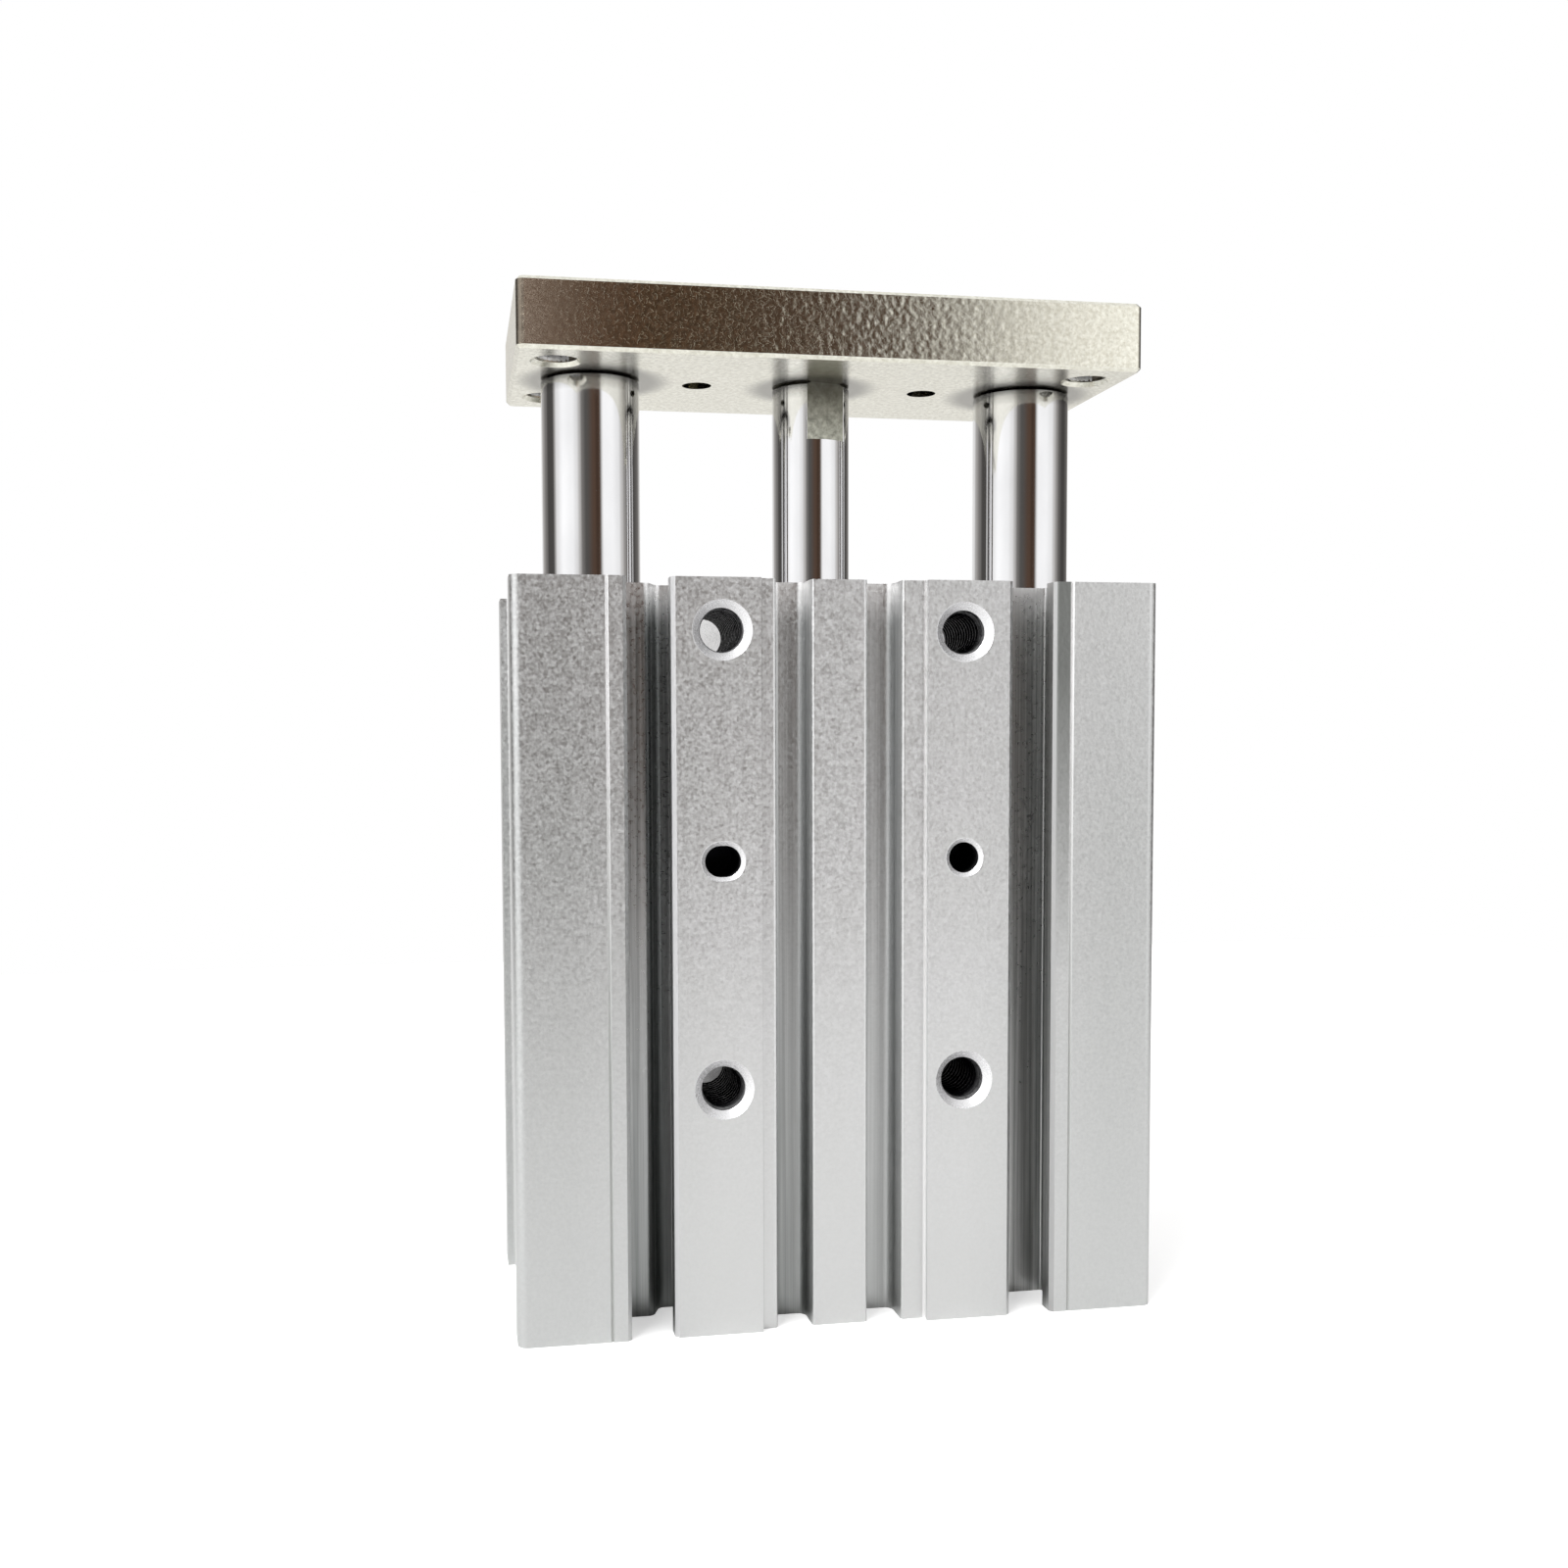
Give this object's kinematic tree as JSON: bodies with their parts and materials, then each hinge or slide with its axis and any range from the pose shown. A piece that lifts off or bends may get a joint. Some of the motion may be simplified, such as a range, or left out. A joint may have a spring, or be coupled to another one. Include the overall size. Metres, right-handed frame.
{
  "type": "guided pneumatic cylinder",
  "caption": "Compact air cylinder in a grooved, T-slotted aluminium body; its piston rod and parallel guide rods carry an end plate.",
  "frame": {"origin": "centre of the body's rear end face, on the piston axis", "axes": "+Z along the rods from the rear end face to the end plate, +Y out of the port face, -Y out of the T-slotted mounting face, X across the width"},
  "size_m": [0.064, 0.03, 0.1008],
  "materials": {
    "anodised_aluminium": "clear anodised, fine blasted grain",
    "plated_steel": "nickel plated, pebbled",
    "chromed_rod": "hard chromed, ground and polished",
    "bush": "sintered, oily",
    "cover_aluminium": "turned",
    "black_rubber": "moulded, satin",
    "bumper_urethane": "moulded, satin",
    "magnet": "bonded magnet, matte",
    "dark_spring_steel": "phosphated, oiled",
    "dark_steel_screw": "black oxide, satin"
  },
  "bodies": {
    "cylinder": {"cylinder_body": "anodised_aluminium", "left_front_bush": "bush", "left_rear_bush": "bush", "right_front_bush": "bush", "right_rear_bush": "bush", "rod_cover": "cover_aluminium", "head_cover": "cover_aluminium", "rod_seal": "black_rubber", "rod_cover_gasket": "black_rubber", "head_cover_gasket": "black_rubber", "rod_cover_retaining_ring": "dark_spring_steel", "head_cover_retaining_ring": "dark_spring_steel", "side_port_plugs": "dark_steel_screw"},
    "slide": {"end_plate": "plated_steel", "left_guide_rod": "chromed_rod", "right_guide_rod": "chromed_rod", "piston_rod": "chromed_rod", "piston": "cover_aluminium", "piston_gasket": "black_rubber", "piston_seal": "black_rubber", "piston_magnet": "magnet", "rod_side_bumper": "bumper_urethane", "head_side_bumper": "bumper_urethane", "piston_rod_screw": "dark_steel_screw", "guide_rod_screws": "dark_steel_screw"}
  },
  "joints": [
    {"name": "stroke", "type": "slide", "parent": "cylinder", "child": "slide", "axis": [0, 0, 1], "range_m": [-0.0161, 0.0239]}
  ]
}
